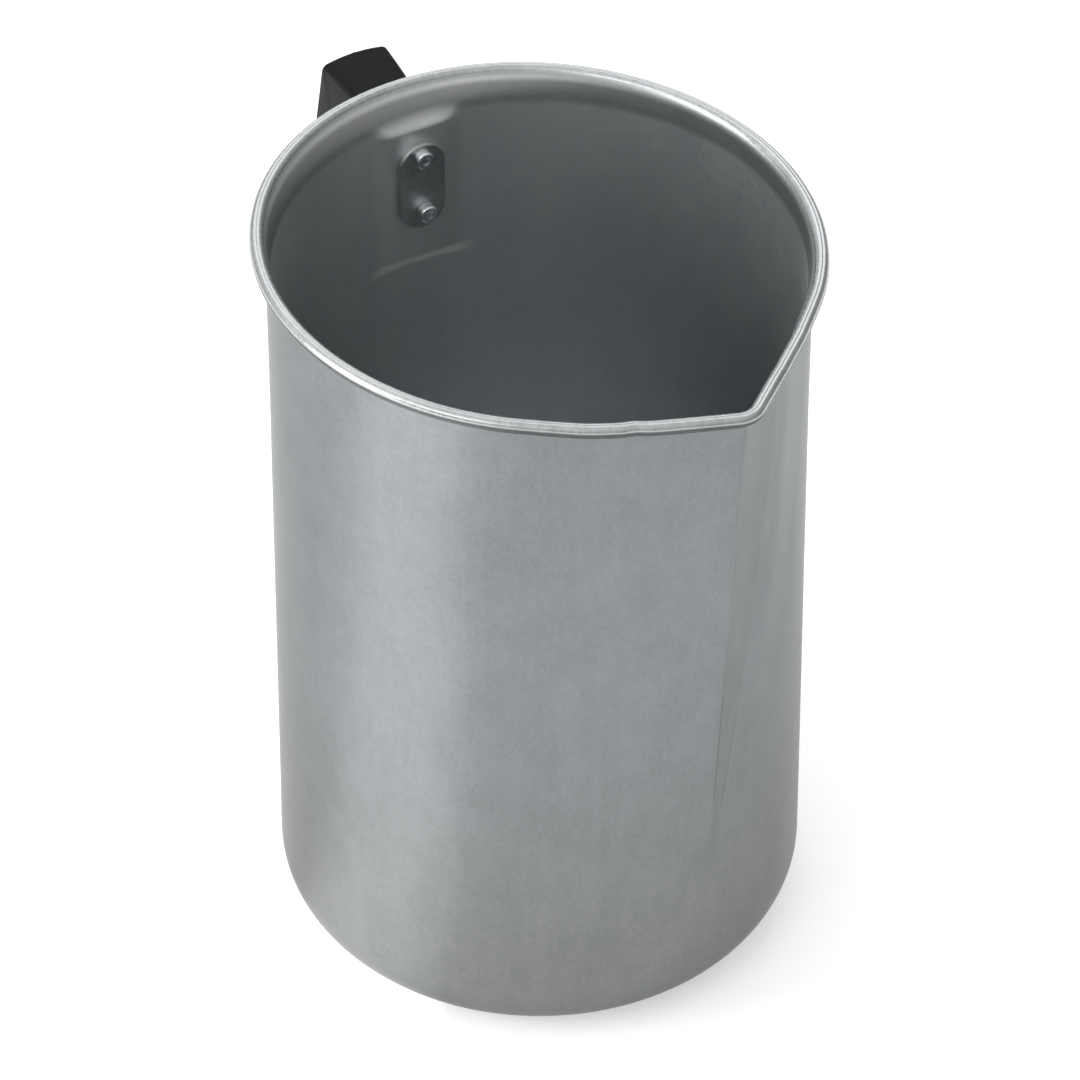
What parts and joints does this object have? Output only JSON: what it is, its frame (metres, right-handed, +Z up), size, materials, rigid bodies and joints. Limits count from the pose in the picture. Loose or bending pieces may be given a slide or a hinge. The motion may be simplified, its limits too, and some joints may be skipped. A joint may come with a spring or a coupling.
{
  "type": "melting pot",
  "caption": "Tall aluminium pouring pot for melting candle wax, with a curled rim, a V-shaped spout and a black riveted handle.",
  "frame": {"origin": "centre of the flat base, on the surface that the pot stands on", "axes": "+Z up along the pot's axis; the handle is on -X; the spout is turned 10.4 degrees from +X towards +Y"},
  "size_m": [0.1875, 0.1356, 0.205],
  "materials": {
    "vessel": "satin drawn",
    "backing_plate": "dull",
    "rivets": "bright",
    "bracket": "satin",
    "grip": "satin moulded phenolic",
    "fasteners": "zinc plated"
  },
  "bodies": {
    "root": {"pot_shell": "vessel", "rivet_plate": "backing_plate", "rivet_upper": "rivets", "rivet_lower": "rivets", "handle_bracket": "bracket", "handle_grip": "grip", "handle_screw": "fasteners", "handle_washer": "fasteners", "handle_nut": "fasteners"}
  },
  "joints": []
}
